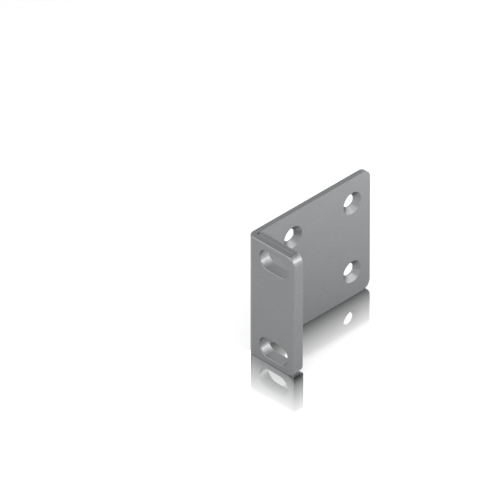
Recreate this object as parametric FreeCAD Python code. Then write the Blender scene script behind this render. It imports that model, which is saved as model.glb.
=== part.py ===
import FreeCAD, Part
import math
import os

# A rack mount ear bracket, folded from one sheet of steel. All sizes are in millimetres.
#
# The plate screws to the side of a device, with its flat mating face against it. At the
# front the sheet turns a right angle into the flange. At the flange's outer edge it folds
# back flat on itself, so the flange is two layers thick. The rack's screws go through two
# slots in the flange, which lies against the rail with its rear face.
#
# +X runs across the flange, away from the device. +Y runs back along the plate. +Z is up.
# The bracket stands on its lower edge, and the origin is the centre of its box's bottom.
# It is laid out from the sharp corner that the mating face and the front face would make,
# and moved to that origin at the end.

# The sheet and its folds
HEIGHT = 43.0
PLATE_LENGTH = 49.7
FLANGE_WIDTH = 19.5
SHEET = 2.0
BEND_INNER_RADIUS = 0.25
HEM_GAP = 0.02
HEM_END_GAP = 0.5
SEAM_ROUND = 0.4
CORNER_RADIUS = 3.0
EDGE_ROUND = 0.4

# The slots for the rack's screws, on the spacing of one rack unit
SLOT_LENGTH = 11.8
SLOT_WIDTH = 6.7
SLOT_SPACING = 31.75
SLOT_FROM_MATING_FACE = 10.95
SLOT_EDGE_ROUND = 0.3

# The countersunk holes for the screws into the device
HOLE_DIAMETER = 4.2
HOLE_LAND = 0.35
SINK_ANGLE = 90.0
HOLE_SPACING_Y = 25.0
HOLE_SPACING_Z = 25.0
HOLE_FROM_REAR = 7.5

# Sizes that follow from those
FLANGE_THICKNESS = 2 * SHEET + HEM_GAP
BEND_OUTER_RADIUS = BEND_INNER_RADIUS + SHEET
SINK_DEPTH = SHEET - HOLE_LAND
SINK_RADIUS = HOLE_DIAMETER / 2 + SINK_DEPTH * math.tan(math.radians(SINK_ANGLE / 2))
MID_HEIGHT = HEIGHT / 2
SEAM_Y = SHEET + HEM_GAP / 2

# The strips of flange between a slot and the bracket's edges limit the roundings on both
STRIP_ABOVE_SLOT = (HEIGHT - SLOT_SPACING - SLOT_WIDTH) / 2
STRIP_BESIDE_SLOT = FLANGE_WIDTH - SLOT_FROM_MATING_FACE - SLOT_LENGTH / 2
ROUND_SHARE = 0.4
MOST_ROUND = ROUND_SHARE * min(STRIP_ABOVE_SLOT, STRIP_BESIDE_SLOT)
EDGE_RADIUS = min(EDGE_ROUND, MOST_ROUND)
MOUTH_RADIUS = min(SLOT_EDGE_ROUND, MOST_ROUND)

# How far a cutter runs past the face that it cuts through
PAST = 1.0
TINY = 1e-6

X_AXIS = FreeCAD.Vector(1, 0, 0)
Y_AXIS = FreeCAD.Vector(0, 1, 0)
Z_AXIS = FreeCAD.Vector(0, 0, 1)


def line(start, end):
    """A straight edge between two points of the section, which lies in the XY plane."""
    return Part.LineSegment(FreeCAD.Vector(*start, 0), FreeCAD.Vector(*end, 0)).toShape()


def arc(centre, radius, start_angle, end_angle):
    """A round edge of the section about a centre, between two angles in degrees."""
    points = []
    for angle in (start_angle, (start_angle + end_angle) / 2, end_angle):
        turn = math.radians(angle)
        x = centre[0] + radius * math.cos(turn)
        y = centre[1] + radius * math.sin(turn)
        points.append(FreeCAD.Vector(x, y, 0))
    return Part.Arc(*points).toShape()


def runs_along(edge, axis):
    """Whether an edge is straight and parallel to an axis."""
    if edge.Curve.TypeId != "Part::GeomLine":
        return False
    return abs(abs(edge.Curve.Direction.dot(axis)) - 1) < TINY


def is_sharp(edge, shape):
    """Whether the two faces that meet at an edge turn a corner there."""
    middle = edge.valueAt((edge.FirstParameter + edge.LastParameter) / 2)
    normals = []
    for face in shape.ancestorsOfType(edge, Part.Face):
        normals.append(face.normalAt(*face.Surface.parameter(middle)))
    return len(normals) == 2 and abs(normals[0].dot(normals[1])) < 1 - TINY


def outer_section():
    """The bracket from above, with the flange's two layers still as one."""
    radius = BEND_OUTER_RADIUS
    return Part.Face(Part.Wire([
        line((0, PLATE_LENGTH), (0, radius)),
        arc((radius, radius), radius, 180, 270),
        line((radius, 0), (FLANGE_WIDTH, 0)),
        line((FLANGE_WIDTH, 0), (FLANGE_WIDTH, FLANGE_THICKNESS)),
        line((FLANGE_WIDTH, FLANGE_THICKNESS), (SHEET, FLANGE_THICKNESS)),
        line((SHEET, FLANGE_THICKNESS), (SHEET, PLATE_LENGTH)),
        line((SHEET, PLATE_LENGTH), (0, PLATE_LENGTH)),
    ]))


def hem_section():
    """The air inside the fold: the slit between the layers, and the gap where the rear
    layer stops short of the plate."""
    radius = BEND_INNER_RADIUS
    half_gap = HEM_GAP / 2
    fold_centre = (FLANGE_WIDTH - SHEET - half_gap, SHEET + half_gap)
    end_of_layer = SHEET + HEM_END_GAP
    rear = FLANGE_THICKNESS + PAST
    return Part.Face(Part.Wire([
        line((SHEET, rear), (SHEET, SHEET + radius)),
        arc((SHEET + radius, SHEET + radius), radius, 180, 270),
        line((SHEET + radius, SHEET), (fold_centre[0], SHEET)),
        arc(fold_centre, half_gap, -90, 90),
        line((fold_centre[0], SHEET + HEM_GAP), (end_of_layer, SHEET + HEM_GAP)),
        line((end_of_layer, SHEET + HEM_GAP), (end_of_layer, rear)),
        line((end_of_layer, rear), (SHEET, rear)),
    ]))


def on_outside(edge):
    """Whether an edge borders the side of the sheet that faces out: the mating face, the
    bend's outside, the flange's front or its rear."""
    box = edge.BoundBox
    if abs(box.YMax) < TINY or abs(box.XMax) < TINY:
        return True
    if abs(box.YMin - FLANGE_THICKNESS) < TINY and abs(box.YMax - FLANGE_THICKNESS) < TINY:
        return box.XMax > SHEET + TINY
    return abs(box.XMin) < TINY and abs(box.YMin) < TINY


def seam_cutter(height, inward):
    """A groove along the seam between the two layers, at the top or the bottom, where the
    edges of both layers are rounded."""
    start = SHEET + HEM_END_GAP
    outward = Z_AXIS * -inward
    foot = FreeCAD.Vector(start, SEAM_Y, height + inward * SEAM_ROUND)
    edges = []
    brims = []
    for side in (-1, 1):
        centre = foot + Y_AXIS * side * SEAM_ROUND
        toward_seam = (outward - Y_AXIS * side).normalize()
        shoulder = centre + outward * SEAM_ROUND
        brim = shoulder + outward * PAST
        edges.append(Part.Arc(foot, centre + toward_seam * SEAM_ROUND, shoulder).toShape())
        edges.append(Part.LineSegment(shoulder, brim).toShape())
        brims.append(brim)
    edges.append(Part.LineSegment(*brims).toShape())
    profile = Part.Face(Part.Wire(Part.sortEdges(edges)[0]))
    return profile.extrude(X_AXIS * (FLANGE_WIDTH - SHEET - start))


def folded_sheet():
    """The sheet with its bend, its hem and its rounded corners. The side that faces out has
    eased edges, and the side that ends up inside the bend and the hem has crisp ones."""
    sheet = outer_section().extrude(Z_AXIS * HEIGHT)
    corners = []
    for edge in sheet.Edges:
        centre = edge.CenterOfMass
        at_plate_end = runs_along(edge, X_AXIS) and abs(centre.y - PLATE_LENGTH) < TINY
        at_flange_end = runs_along(edge, Y_AXIS) and abs(centre.x - FLANGE_WIDTH) < TINY
        if at_plate_end or at_flange_end:
            corners.append(edge)
    sheet = sheet.makeFillet(CORNER_RADIUS, corners)

    air = hem_section().extrude(Z_AXIS * (HEIGHT + 2 * PAST))
    air.translate(Z_AXIS * -PAST)
    sheet = sheet.cut(air)

    edges = [edge for edge in sheet.Edges if on_outside(edge) and is_sharp(edge, sheet)]
    sheet = sheet.makeFillet(EDGE_RADIUS, edges)
    return sheet.cut([seam_cutter(0, 1), seam_cutter(HEIGHT, -1)])


def slot_cutter(height):
    """A slot with round ends, right through the flange, with its centre at a height."""
    radius = SLOT_WIDTH / 2
    reach = SLOT_LENGTH / 2 - radius
    depth = FLANGE_THICKNESS + 2 * PAST
    left = SLOT_FROM_MATING_FACE - reach
    right = SLOT_FROM_MATING_FACE + reach
    middle = Part.makeBox(2 * reach, depth, SLOT_WIDTH, FreeCAD.Vector(left, -PAST, height - radius))
    ends = []
    for x in (left, right):
        ends.append(Part.makeCylinder(radius, depth, FreeCAD.Vector(x, -PAST, height), Y_AXIS))
    return middle.multiFuse(ends).removeSplitter()


def cut_slots(sheet):
    """The two slots, with their mouths eased at the front and rear faces."""
    heights = [MID_HEIGHT + side * SLOT_SPACING / 2 for side in (-1, 1)]
    sheet = sheet.cut([slot_cutter(height) for height in heights])
    mouths = []
    for edge in sheet.Edges:
        box = edge.BoundBox
        on_a_face = any(
            abs(box.YMin - y) < TINY and abs(box.YMax - y) < TINY for y in (0, FLANGE_THICKNESS)
        )
        in_a_slot = any(abs(edge.CenterOfMass.z - height) <= SLOT_WIDTH / 2 for height in heights)
        across = abs(edge.CenterOfMass.x - SLOT_FROM_MATING_FACE) <= SLOT_LENGTH / 2
        if on_a_face and in_a_slot and across:
            mouths.append(edge)
    return sheet.makeFillet(MOUTH_RADIUS, mouths)


def hole_cutter(y, z):
    """A through hole with its countersink, which opens on the plate's outer face."""
    hole = Part.makeCylinder(
        HOLE_DIAMETER / 2, SHEET + 2 * PAST, FreeCAD.Vector(-PAST, y, z), X_AXIS
    )
    slope = math.tan(math.radians(SINK_ANGLE / 2))
    sink = Part.makeCone(
        HOLE_DIAMETER / 2,
        SINK_RADIUS + PAST * slope,
        SINK_DEPTH + PAST,
        FreeCAD.Vector(HOLE_LAND, y, z),
        X_AXIS,
    )
    return hole.fuse(sink)


def cut_holes(sheet):
    """The four countersunk holes, as a rectangle about the plate's middle height."""
    rear_row = PLATE_LENGTH - HOLE_FROM_REAR
    cutters = []
    for y in (rear_row - HOLE_SPACING_Y, rear_row):
        for side in (-1, 1):
            cutters.append(hole_cutter(y, MID_HEIGHT + side * HOLE_SPACING_Z / 2))
    return sheet.cut(cutters)


def ear_bracket():
    """The whole bracket, standing on its lower edge at the origin."""
    bracket = cut_holes(cut_slots(folded_sheet()))
    bracket.translate(FreeCAD.Vector(-FLANGE_WIDTH / 2, -PLATE_LENGTH / 2, 0))
    return bracket


os.makedirs("parts", exist_ok=True)
ear_bracket().exportStep("parts/ear_bracket.step")
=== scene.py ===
import math

import bpy
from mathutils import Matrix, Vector


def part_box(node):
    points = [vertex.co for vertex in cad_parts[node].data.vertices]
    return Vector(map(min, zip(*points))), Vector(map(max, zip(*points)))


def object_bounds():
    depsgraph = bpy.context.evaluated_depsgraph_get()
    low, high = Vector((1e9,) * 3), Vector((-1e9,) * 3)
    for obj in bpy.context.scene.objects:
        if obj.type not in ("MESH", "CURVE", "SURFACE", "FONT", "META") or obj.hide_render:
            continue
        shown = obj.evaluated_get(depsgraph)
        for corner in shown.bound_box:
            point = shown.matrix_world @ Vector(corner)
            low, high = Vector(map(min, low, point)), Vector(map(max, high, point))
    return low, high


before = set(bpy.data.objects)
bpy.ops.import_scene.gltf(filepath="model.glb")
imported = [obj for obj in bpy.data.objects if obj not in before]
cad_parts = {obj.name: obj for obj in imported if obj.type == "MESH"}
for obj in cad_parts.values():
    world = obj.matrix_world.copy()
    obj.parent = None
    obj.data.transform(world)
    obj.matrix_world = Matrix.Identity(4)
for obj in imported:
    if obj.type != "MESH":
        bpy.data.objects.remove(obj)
cad_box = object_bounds()
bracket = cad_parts["ear_bracket"]

# Camera: the photograph's isometric view, through a very long lens
PHOTO_PIXELS = 500
PIXELS_PER_MM = 3.3646
SENSOR_MM = 36.0
LENS_MM = 1600.0
AZIMUTH = math.radians(45.0)
ELEVATION = math.atan(1 / math.sqrt(2))
# Where the centre of the bracket's box lies in the photograph
CENTRE_PIXEL = (329.62, 271.94)
# The camera's clipping, as shares of its distance
CLIP_START = 0.01
CLIP_END = 3.0

# Steel: satin sheet with its rolling grain along the strip, so level on both its legs
STEEL_COLOUR = (0.266, 0.271, 0.275)
MOTTLE_COLOUR = (0.258, 0.263, 0.268)
WORN_HIGHLIGHT_COLOUR = (0.31, 0.315, 0.32)
STEEL_ROUGHNESS = 0.3
GRAIN_ROUGHNESS = 0.035
MOTTLE_ROUGHNESS = 0.015
GRAIN_ALONG_PER_M = 55.0
GRAIN_ACROSS_PER_M = 3200.0
GRAIN_DEPTH = 0.000001
MOTTLE_PER_M = 110.0
SMOOTH_ANGLE = math.radians(20.0)
# The part of a noise's range that is stretched to the whole
NOISE_SPAN = (0.3, 0.7)
# An edge is painted lighter where the rounded normal departs from the true one, from the first
# agreement between them to the second, and least where the mottle is low: partly rubbed wear, partly a
# painted highlight
WORN_HIGHLIGHT_WIDTH = 0.0004
WORN_HIGHLIGHT_AGREEMENT = (0.98, 0.75)
WORN_HIGHLIGHT_MOTTLE = (0.35, 0.65)
LEAST_WORN_HIGHLIGHT = 0.2

# Studio: a white world and a pale floor. The glow is for the rays that look at the floor,
# and the whitening for the camera's alone
FLOOR_SIDE = 4.0
FLOOR_ALBEDO = 0.8
FLOOR_GLOW = 0.26
FLOOR_WHITENING = 0.16
WORLD_FILL = 0.57

# The floor's mirror image of the bracket lies along one fixed line, up and to the rear left,
# where each metre along X or Y is also a metre of height
MIRROR_HEADING = (-1, 1, 1)
ACROSS_MIRROR = (1, 1, 0)
# The image fades evenly with the mirrored height, and thins out before it ends
MIRROR_REACH = 0.0162
MIRROR_THINS_FROM = 0.0115
MIRROR_ENDS_AT = 0.0145
# Past the bracket's two ends the mirror goes on a little, and thins out softly
MIRROR_MARGIN = 0.012
# Under the rounded corners the image gives way to the matt floor
MIRROR_UNDER = 0.0015
MIRROR_SHARE_UNDER = 0.8
# Painted shade: the mirror image's tones, dimmer beside the bracket than before its front, stand in for
# the bracket's shadow at its foot
SHADED_MIRROR_FRONT = 0.68
SHADED_MIRROR_SIDES = 0.155
# White again once the mirror's tone has dimmed it
MIRRORED_WHITE = 1 / SHADED_MIRROR_SIDES
FAR_AWAY = 100.0
TINY = 0.00001

# Round lamps that face the bracket's middle: name, azimuth from +X towards +Y and elevation
# in degrees, distance and size in metres, and radiance in the world's own units
SOFTBOXES = (
    ("rear_right_over_floor", 45, 12.5, 0.18, 0.2, 1.25),
    ("rear_right_low", 45, 5, 0.25, 0.2, 0.6),
    ("rear_low", 90, 5, 0.25, 0.2, 1.1),
    ("front_left_low", 235, 6, 0.25, 0.2, 1.15),
    ("front_right_low", 300, 6, 0.25, 0.2, 0.7),
    ("rear_high", 90, 35, 0.3, 0.14, 1.2),
    ("rear_right_high", 45, 29, 0.27, 0.22, 1.12),
    ("right_high", 11, 26, 0.135, 0.09, 1.5),
    ("front_high", 270, 45, 0.25, 0.2, 1.2),
)
# The grey card, in the same order
GREY_CARD = ("grey_card", 135, 58.5, 0.28, 0.25, 0.66)
# The lamps behind the flange's slots: how far they are from the plate's inner face and from
# the flange's rear, their size, and each one's height and radiance
SLOT_LAMP_FROM_PLATE = 0.00405
SLOT_LAMP_FROM_FLANGE = 0.00295
SLOT_LAMP_SIZE = 0.0099
SLOT_LAMPS = ((0.0071, 0.37), (0.0356, 0.25))

# The sockets of a Mix node that hold its two colours and their mixture
FIRST_COLOUR = 6
SECOND_COLOUR = 7
MIXTURE = 2


def place_camera():
    """A camera whose frame is as wide as the photograph is at the bracket's centre."""
    back = Vector((
        math.cos(ELEVATION) * math.sin(AZIMUTH),
        -math.cos(ELEVATION) * math.cos(AZIMUTH),
        math.sin(ELEVATION),
    ))
    right = Vector((math.cos(AZIMUTH), math.sin(AZIMUTH), 0))
    up = back.cross(right)
    centre = (Vector(cad_box[0]) + Vector(cad_box[1])) / 2
    metres_per_pixel = 0.001 / PIXELS_PER_MM
    aside = (CENTRE_PIXEL[0] - PHOTO_PIXELS / 2) * metres_per_pixel
    below = (CENTRE_PIXEL[1] - PHOTO_PIXELS / 2) * metres_per_pixel
    target = centre - right * aside + up * below
    distance = PHOTO_PIXELS * metres_per_pixel * LENS_MM / SENSOR_MM
    data = bpy.data.cameras.new("photo_camera")
    data.lens = LENS_MM
    data.sensor_width = SENSOR_MM
    data.clip_start = distance * CLIP_START
    data.clip_end = distance * CLIP_END
    camera = bpy.data.objects.new("photo_camera", data)
    camera.location = target + back * distance
    camera.rotation_euler = back.to_track_quat("Z", "Y").to_euler()
    bpy.context.scene.collection.objects.link(camera)
    bpy.context.scene.camera = camera


def add_node(tree, kind, inputs=None, **settings):
    """A shader node whose inputs are values, or other nodes' outputs to link."""
    node = tree.nodes.new(kind)
    for name, value in settings.items():
        setattr(node, name, value)
    for name, value in (inputs or {}).items():
        if isinstance(value, bpy.types.NodeSocket):
            tree.links.new(value, node.inputs[name])
        else:
            node.inputs[name].default_value = value
    return node


def maths(tree, operation, first, second=0.0):
    return add_node(tree, "ShaderNodeMath", {0: first, 1: second}, operation=operation).outputs[0]


def product(tree, first, *others):
    for other in others:
        first = maths(tree, "MULTIPLY", first, other)
    return first


def vector_maths(tree, operation, first, second):
    return add_node(tree, "ShaderNodeVectorMath", {0: first, 1: second}, operation=operation).outputs[0]


def dot_product(tree, first, second):
    inputs = {0: first, 1: second}
    return add_node(tree, "ShaderNodeVectorMath", inputs, operation="DOT_PRODUCT").outputs["Value"]


def map_range(tree, value, low, high, out_low, out_high):
    """A value's way from low to high, turned into one from out_low to out_high, and held there."""
    return add_node(tree, "ShaderNodeMapRange", {
        "Value": value,
        "From Min": low,
        "From Max": high,
        "To Min": out_low,
        "To Max": out_high,
    }).outputs["Result"]


def mixed_colour(tree, share, first, second):
    inputs = {"Factor": share, FIRST_COLOUR: first, SECOND_COLOUR: second}
    return add_node(tree, "ShaderNodeMix", inputs, data_type="RGBA").outputs[MIXTURE]


def satin_steel():
    """Satin sheet steel: fine level grain, a faint mottle, and edges painted a little bright, partly as
    rubbed wear and partly as a painted highlight.
    """
    material = bpy.data.materials.new("satin_steel")
    material.use_nodes = True
    tree = material.node_tree
    shader = tree.nodes["Principled BSDF"]
    shader.inputs["Metallic"].default_value = 1.0

    place = add_node(tree, "ShaderNodeTexCoord").outputs["Object"]
    stretch = (GRAIN_ALONG_PER_M, GRAIN_ALONG_PER_M, GRAIN_ACROSS_PER_M)
    grain = add_node(tree, "ShaderNodeTexNoise", {
        "Vector": vector_maths(tree, "MULTIPLY", place, stretch),
        "Scale": 1.0,
        "Detail": 3.0,
        "Roughness": 0.6,
    }).outputs["Fac"]
    mottle = add_node(tree, "ShaderNodeTexNoise", {
        "Vector": place,
        "Scale": MOTTLE_PER_M,
        "Detail": 2.0,
    }).outputs["Fac"]

    # Partly rubbed wear, partly a painted highlight: the edges get a lighter colour where the bevelled
    # normal bends away
    soft_normal = add_node(tree, "ShaderNodeBevel", {"Radius": WORN_HIGHLIGHT_WIDTH}, samples=6).outputs[0]
    normal = add_node(tree, "ShaderNodeNewGeometry").outputs["Normal"]
    agreement = dot_product(tree, soft_normal, normal)
    at_edge = map_range(tree, agreement, *WORN_HIGHLIGHT_AGREEMENT, 0.0, 1.0)
    wear_and_highlight = product(tree, at_edge, map_range(tree, mottle, *WORN_HIGHLIGHT_MOTTLE, LEAST_WORN_HIGHLIGHT, 1.0))

    mottling = map_range(tree, mottle, *NOISE_SPAN, 0.0, 1.0)
    base = mixed_colour(tree, mottling, (*STEEL_COLOUR, 1), (*MOTTLE_COLOUR, 1))
    worn_and_highlit = mixed_colour(tree, wear_and_highlight, base, (*WORN_HIGHLIGHT_COLOUR, 1))
    tree.links.new(worn_and_highlit, shader.inputs["Base Color"])

    grainy = map_range(tree, grain, *NOISE_SPAN, -GRAIN_ROUGHNESS, GRAIN_ROUGHNESS)
    mottled = map_range(tree, mottle, *NOISE_SPAN, -MOTTLE_ROUGHNESS, MOTTLE_ROUGHNESS)
    uneven = maths(tree, "ADD", grainy, mottled)
    tree.links.new(maths(tree, "ADD", uneven, STEEL_ROUGHNESS), shader.inputs["Roughness"])

    bump = add_node(tree, "ShaderNodeBump", {"Height": grain, "Distance": GRAIN_DEPTH})
    tree.links.new(bump.outputs["Normal"], shader.inputs["Normal"])
    return material


def smooth_rounds(piece):
    """Shades the rounded edges smoothly and the flats flat, without touching a vertex."""
    piece.data.shade_smooth()
    piece.data.set_sharp_from_angle(angle=SMOOTH_ANGLE)
    weighted = piece.modifiers.new("weighted_normals", "WEIGHTED_NORMAL")
    weighted.keep_sharp = True


def seen_directly(tree):
    """1 for the rays that look at a thing, 0 for those that only gather its light."""
    path = add_node(tree, "ShaderNodeLightPath").outputs
    mirrored = maths(tree, "MAXIMUM", path["Is Glossy Ray"], path["Is Transmission Ray"])
    return maths(tree, "MAXIMUM", path["Is Camera Ray"], mirrored)


def white_in_floor(tree):
    """A white for the rays from the floor's sharp mirror alone, which lights nothing, so
    that all but the bracket stays white in it. It is 0 for the others."""
    mirrored = add_node(tree, "ShaderNodeLightPath").outputs["Is Singular Ray"]
    return maths(tree, "MULTIPLY", mirrored, MIRRORED_WHITE)


def studio_world():
    """White to look at, also in the steel, and a little dimmer as a source of soft light."""
    world = bpy.data.worlds.new("studio")
    world.use_nodes = True
    tree = world.node_tree
    background = tree.nodes["Background"]
    background.inputs["Color"].default_value = (1, 1, 1, 1)
    plain = maths(tree, "MAXIMUM", seen_directly(tree), WORLD_FILL)
    strength = maths(tree, "MAXIMUM", plain, white_in_floor(tree))
    tree.links.new(strength, background.inputs["Strength"])
    bpy.context.scene.world = world


def empty_material(name):
    """A material without a shader, and its node tree."""
    material = bpy.data.materials.new(name)
    material.use_nodes = True
    material.node_tree.nodes.clear()
    return material, material.node_tree


def way_to_wall(tree, place, low, high):
    """How far it is along the mirror's heading from a place on the floor to the walls of an
    upright box, and 1 where the wall met there faces the front. A missed box is far away,
    and a place under the box is at a negative distance."""
    ends = [
        vector_maths(tree, "DIVIDE", vector_maths(tree, "SUBTRACT", corner, place), MIRROR_HEADING)
        for corner in (low, high)
    ]
    entry = vector_maths(tree, "MINIMUM", *ends)
    departure = vector_maths(tree, "MAXIMUM", *ends)
    entries = add_node(tree, "ShaderNodeSeparateXYZ", {"Vector": entry}).outputs
    departures = add_node(tree, "ShaderNodeSeparateXYZ", {"Vector": departure}).outputs
    met = maths(tree, "MAXIMUM", entries["X"], entries["Y"])
    left = maths(tree, "MINIMUM", departures["X"], departures["Y"])
    beside = maths(tree, "GREATER_THAN", met, left)
    missed = maths(tree, "MAXIMUM", beside, maths(tree, "LESS_THAN", left))
    way = maths(tree, "ADD", met, product(tree, missed, FAR_AWAY))
    from_front = maths(tree, "GREATER_THAN", entries["Y"], entries["X"])
    return way, maths(tree, "GREATER_THAN", from_front, missed)


def mirrored_wall(tree, place, footprints):
    """The height of the wall that the mirror shows at a place on the floor, and 1 where that
    is the flange's front. The walls go on a little past the bracket's two ends."""
    plate, flange = footprints
    (left, front, _), (plate_side, rear, _) = plate
    past_rear = ((plate_side - TINY, rear, 0), (plate_side, rear + MIRROR_MARGIN, 0))
    past_front = ((left - MIRROR_MARGIN, front, 0), (left, front + TINY, 0))
    plate_ways = [way_to_wall(tree, place, *wall)[0] for wall in (plate, past_rear)]
    to_plate = maths(tree, "MINIMUM", *plate_ways)
    flange_way, from_front = way_to_wall(tree, place, *flange)
    past_way, also_front = way_to_wall(tree, place, *past_front)
    to_flange = maths(tree, "MINIMUM", flange_way, past_way)
    from_front = maths(tree, "MAXIMUM", from_front, also_front)
    nearer = maths(tree, "GREATER_THAN", maths(tree, "ADD", to_plate, TINY), to_flange)
    return maths(tree, "MINIMUM", to_plate, to_flange), product(tree, from_front, nearer)


def mirror_share(tree, place, height, footprints):
    """How much of the floor's look is mirror image, by the height that is mirrored there and
    by how far the place is past the bracket's two ends."""
    (left, front, _), (plate_side, rear, _) = footprints[0]
    across = dot_product(tree, place, ACROSS_MIRROR)
    leftmost = left + front
    rightmost = plate_side + rear
    return product(
        tree,
        map_range(tree, height, 0.0, MIRROR_REACH, 1.0, 0.0),
        map_range(tree, height, MIRROR_THINS_FROM, MIRROR_ENDS_AT, 1.0, 0.0),
        map_range(tree, height, -MIRROR_UNDER, 0.0, MIRROR_SHARE_UNDER, 1.0),
        map_range(tree, across, leftmost - MIRROR_MARGIN, leftmost, 0.0, 1.0),
        map_range(tree, across, rightmost, rightmost + MIRROR_MARGIN, 1.0, 0.0),
    )


def floor_material(footprints):
    """Matt and pale, with the bracket's soft shadow. In front of the bracket and to its right
    it also has a sharp mirror image, which fades with the mirrored height, and whose tone is
    a painted shade, darker beside the bracket than before its front."""
    material, tree = empty_material("pale_floor")
    camera_ray = add_node(tree, "ShaderNodeLightPath").outputs["Is Camera Ray"]
    diffuse = add_node(tree, "ShaderNodeBsdfDiffuse", {"Color": (*[FLOOR_ALBEDO] * 3, 1)})
    glow = product(tree, seen_directly(tree), FLOOR_GLOW)
    whitening = product(tree, camera_ray, FLOOR_WHITENING)
    lit = add_node(tree, "ShaderNodeEmission", {"Strength": maths(tree, "ADD", glow, whitening)})
    matt = add_node(tree, "ShaderNodeAddShader", {0: diffuse.outputs[0], 1: lit.outputs[0]})

    place = add_node(tree, "ShaderNodeNewGeometry").outputs["Position"]
    height, front = mirrored_wall(tree, place, footprints)
    # Painted shade: the mirror image is dimmed, most beside the bracket
    tone = map_range(tree, front, 0.0, 1.0, SHADED_MIRROR_SIDES, SHADED_MIRROR_FRONT)
    mirror = add_node(tree, "ShaderNodeBsdfGlossy", {"Color": tone, "Roughness": 0.0})
    surface = add_node(tree, "ShaderNodeMixShader", {
        0: product(tree, mirror_share(tree, place, height, footprints), camera_ray),
        1: matt.outputs[0],
        2: mirror.outputs[0],
    })
    add_node(tree, "ShaderNodeOutputMaterial", {"Surface": surface.outputs[0]})
    return material


def bracket_footprints():
    """The plate's and the flange's boxes, from the bracket's own corners."""
    low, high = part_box("ear_bracket")
    behind = [v.co for v in bracket.data.vertices if v.co.y > (low[1] + high[1]) / 2]
    plate_side = max(corner.x for corner in behind)
    beside = [v.co for v in bracket.data.vertices if v.co.x > (low[0] + high[0]) / 2]
    flange_rear = max(corner.y for corner in beside)
    plate = (low, (plate_side, high[1], high[2]))
    flange = (low, (high[0], flange_rear, high[2]))
    return plate, flange


def add_square(name, side, material):
    """A flat square of the studio, which isn't part of the bracket."""
    half = side / 2
    mesh = bpy.data.meshes.new(name)
    corners = [(-half, -half, 0), (half, -half, 0), (half, half, 0), (-half, half, 0)]
    mesh.from_pydata(corners, [], [(0, 1, 2, 3)])
    mesh.materials.append(material)
    square = bpy.data.objects.new(name, mesh)
    bpy.context.scene.collection.objects.link(square)
    return square


def face_bracket(thing, azimuth, elevation, distance):
    """Puts a thing where it faces the bracket's middle. The azimuth is from +X towards +Y,
    in degrees, as the elevation is."""
    turn = math.radians(azimuth)
    rise = math.radians(elevation)
    level = math.cos(rise)
    direction = Vector((level * math.cos(turn), level * math.sin(turn), math.sin(rise)))
    thing.location = (Vector(cad_box[0]) + Vector(cad_box[1])) / 2 + direction * distance
    thing.rotation_euler = direction.to_track_quat("Z", "Y").to_euler()


def add_lamp(name, size, radiance):
    """A round lamp, whose radiance is in the world's own units."""
    data = bpy.data.lights.new(name, "AREA")
    data.shape = "DISK"
    data.size = size
    data.energy = radiance * (math.pi * size / 2) ** 2
    lamp = bpy.data.objects.new(name, data)
    lamp.visible_camera = False
    bpy.context.scene.collection.objects.link(lamp)
    return lamp


def add_grey_card():
    """A card for the steel to mirror, which gives the bracket's upper edges their tone."""
    name, azimuth, elevation, distance, side, radiance = GREY_CARD
    material, tree = empty_material(name)
    strength = maths(tree, "MAXIMUM", white_in_floor(tree), radiance)
    grey = add_node(tree, "ShaderNodeEmission", {"Strength": strength})
    add_node(tree, "ShaderNodeOutputMaterial", {"Surface": grey.outputs[0]})
    card = add_square(name, side, material)
    face_bracket(card, azimuth, elevation, distance)
    card.visible_camera = False
    card.visible_diffuse = False
    card.visible_shadow = False


def light_bracket(footprints):
    """The lamps about the bracket, a card for its upper edges, and a small lamp behind each
    slot for the slot's lower wall."""
    lamps = {}
    for name, azimuth, elevation, distance, size, radiance in SOFTBOXES:
        lamps[name] = add_lamp(name, size, radiance)
        face_bracket(lamps[name], azimuth, elevation, distance)
    # This one shines straight down, on the floor that the plate mirrors
    over_floor = lamps["rear_right_over_floor"]
    over_floor.rotation_euler = (0, 0, 0)
    over_floor.visible_glossy = False
    # This one is only for the steel to mirror in its rounded edges and sinks
    lamps["right_high"].visible_diffuse = False
    add_grey_card()

    (_, (plate_side, _, _)), (_, (_, flange_rear, _)) = footprints
    for height, radiance in SLOT_LAMPS:
        lamp = add_lamp("behind_slot", SLOT_LAMP_SIZE, radiance)
        lamp.location = (plate_side + SLOT_LAMP_FROM_PLATE, flange_rear + SLOT_LAMP_FROM_FLANGE, height)
        lamp.rotation_euler = Vector(MIRROR_HEADING).to_track_quat("Z", "Y").to_euler()
        lamp.visible_diffuse = False


place_camera()
bracket.data.materials.clear()
bracket.data.materials.append(satin_steel())
smooth_rounds(bracket)
studio_world()
footprints = bracket_footprints()
add_square("floor", FLOOR_SIDE, floor_material(footprints))
light_bracket(footprints)
bpy.context.scene.view_settings.view_transform = "Standard"
